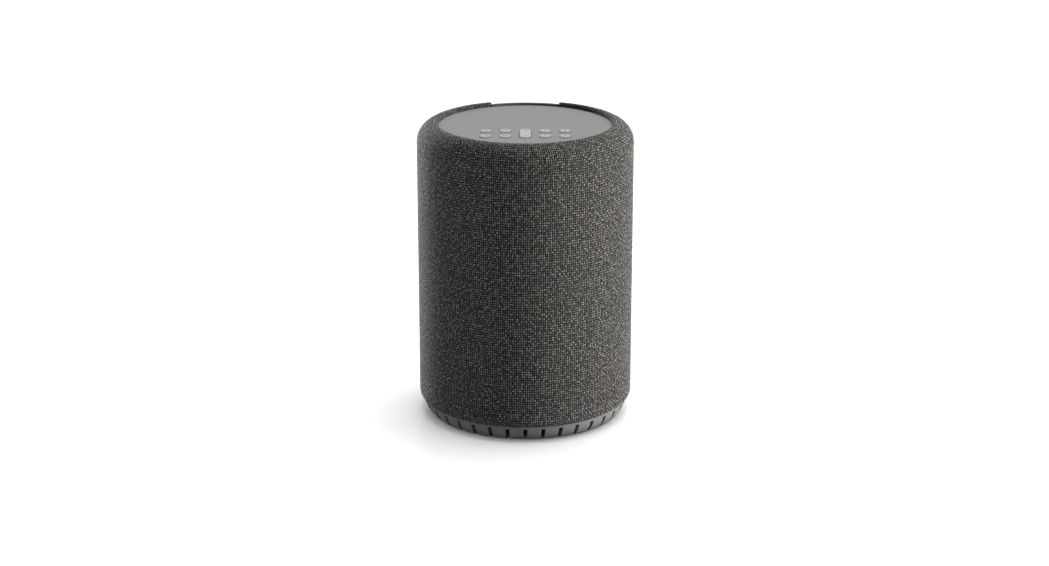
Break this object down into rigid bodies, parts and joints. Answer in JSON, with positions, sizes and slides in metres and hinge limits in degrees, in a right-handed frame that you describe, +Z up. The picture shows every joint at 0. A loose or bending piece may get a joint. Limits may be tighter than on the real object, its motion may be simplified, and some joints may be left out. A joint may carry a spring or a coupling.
{
  "type": "smart home hub",
  "caption": "Cylindrical smart home hub: cloth-covered body, recessed key panel on top, slotted foot ring, and a rear recess for its connectors.",
  "frame": {"origin": "centre of the footprint, on the surface the hub stands on", "axes": "+Z up, -Y the front, where the keys and the drivers face the user, +X to the user's right"},
  "size_m": [0.138, 0.1364, 0.192],
  "materials": {
    "fabric": "charcoal melange linen weave",
    "inner_plastic": "matt black moulding",
    "spine_plastic": "fine matt",
    "base_plastic": "fine matt",
    "rubber": "matt",
    "panel_plastic": "warm grey satin paint",
    "key_plastic": "silver satin paint",
    "steel": "plated",
    "light_guide": "smoked",
    "silicone": "matt",
    "circuit_board": "solder mask",
    "pressed_steel": "black satin",
    "cone_paper": "pressed fibre",
    "spider_cloth": "treated cloth",
    "dome_cloth": "coated silk",
    "ferrite": "sintered",
    "radiator_metal": "satin",
    "socket_plastic": "semi-gloss",
    "contact_metal": "plated",
    "contact_steel": "tinned",
    "button_plastic": "matt",
    "component_body": "moulded epoxy",
    "ribbon": "flat cable",
    "lead_cover": "insulation"
  },
  "bodies": {
    "root": {"fabric_sleeve": "fabric", "grille_shell": "inner_plastic", "rear_spine": "spine_plastic", "base_ring": "base_plastic", "rubber_feet": "rubber", "top_cap": "panel_plastic", "rocker_pin": "steel", "light_pipe": "light_guide", "key_mat": "silicone", "key_board": "circuit_board", "key_board_screws": "steel", "top_deck": "inner_plastic", "cabinet_body": "inner_plastic", "front_baffle": "inner_plastic", "cabinet_floor": "inner_plastic", "cabinet_screws": "steel", "woofer_basket": "pressed_steel", "woofer_surround": "rubber", "woofer_spider": "spider_cloth", "woofer_magnet": "ferrite", "woofer_top_plate": "pressed_steel", "woofer_yoke": "pressed_steel", "tweeter_plate": "inner_plastic", "tweeter_surround": "rubber", "tweeter_magnet": "ferrite", "driver_screws": "steel", "radiator_frame": "inner_plastic", "radiator_surround": "rubber", "radiator_screws": "steel", "connector_tub": "spine_plastic", "mains_inlet": "socket_plastic", "inlet_pins": "contact_metal", "aux_jack": "socket_plastic", "service_port": "contact_steel", "port_board": "circuit_board", "power_board": "circuit_board", "main_board": "circuit_board", "board_screws": "steel", "power_components": "component_body", "main_board_chips": "component_body", "heat_sink": "radiator_metal", "wireless_module": "contact_steel", "ribbon_cable": "ribbon", "inner_leads": "lead_cover"},
    "key_power": {"key_power": "key_plastic"},
    "key_source": {"key_source": "key_plastic"},
    "key_assistant": {"key_assistant": "key_plastic"},
    "key_play": {"key_play": "key_plastic"},
    "key_preset_1": {"key_preset_1": "key_plastic"},
    "key_preset_2": {"key_preset_2": "key_plastic"},
    "key_preset_3": {"key_preset_3": "key_plastic"},
    "key_preset_4": {"key_preset_4": "key_plastic"},
    "volume_rocker": {"volume_rocker": "key_plastic"},
    "woofer_cone": {"woofer_cone": "cone_paper"},
    "tweeter_dome": {"tweeter_dome": "dome_cloth"},
    "radiator_diaphragm": {"radiator_diaphragm": "radiator_metal"},
    "pairing_button": {"pairing_button": "button_plastic"}
  },
  "joints": [
    {"name": "press_power", "type": "slide", "parent": "root", "child": "key_power", "axis": [0, 0, -1], "range_m": [0, 0.0006], "stiffness_N_per_m": 1500, "deforming": ["key_mat"]},
    {"name": "press_source", "type": "slide", "parent": "root", "child": "key_source", "axis": [0, 0, -1], "range_m": [0, 0.0006], "stiffness_N_per_m": 1500, "deforming": ["key_mat"]},
    {"name": "press_assistant", "type": "slide", "parent": "root", "child": "key_assistant", "axis": [0, 0, -1], "range_m": [0, 0.0006], "stiffness_N_per_m": 1500, "deforming": ["key_mat"]},
    {"name": "press_play", "type": "slide", "parent": "root", "child": "key_play", "axis": [0, 0, -1], "range_m": [0, 0.0006], "stiffness_N_per_m": 1500, "deforming": ["key_mat"]},
    {"name": "press_preset_1", "type": "slide", "parent": "root", "child": "key_preset_1", "axis": [0, 0, -1], "range_m": [0, 0.0006], "stiffness_N_per_m": 1500, "deforming": ["key_mat"]},
    {"name": "press_preset_2", "type": "slide", "parent": "root", "child": "key_preset_2", "axis": [0, 0, -1], "range_m": [0, 0.0006], "stiffness_N_per_m": 1500, "deforming": ["key_mat"]},
    {"name": "press_preset_3", "type": "slide", "parent": "root", "child": "key_preset_3", "axis": [0, 0, -1], "range_m": [0, 0.0006], "stiffness_N_per_m": 1500, "deforming": ["key_mat"]},
    {"name": "press_preset_4", "type": "slide", "parent": "root", "child": "key_preset_4", "axis": [0, 0, -1], "range_m": [0, 0.0006], "stiffness_N_per_m": 1500, "deforming": ["key_mat"]},
    {"name": "rock_volume", "type": "hinge", "parent": "root", "child": "volume_rocker", "pos_m": [0, -0.0232, 0.1856], "axis": [1, 0, 0], "range_deg": [-2, 2], "stiffness_Nm_per_rad": 0.4, "deforming": ["key_mat"]},
    {"name": "woofer_stroke", "type": "slide", "parent": "root", "child": "woofer_cone", "axis": [0, -1, 0], "range_m": [-0.003, 0.003], "stiffness_N_per_m": 1500, "deforming": ["woofer_surround", "woofer_spider"]},
    {"name": "tweeter_stroke", "type": "slide", "parent": "root", "child": "tweeter_dome", "axis": [0, -1, 0], "range_m": [-0.0003, 0.0003], "stiffness_N_per_m": 2000, "deforming": ["tweeter_surround"]},
    {"name": "radiator_stroke", "type": "slide", "parent": "root", "child": "radiator_diaphragm", "axis": [0, 0, -1], "range_m": [-0.004, 0.004], "stiffness_N_per_m": 2000, "deforming": ["radiator_surround"]},
    {"name": "press_pairing", "type": "slide", "parent": "root", "child": "pairing_button", "axis": [0, -1, 0], "range_m": [0, 0.0005], "stiffness_N_per_m": 1500}
  ]
}
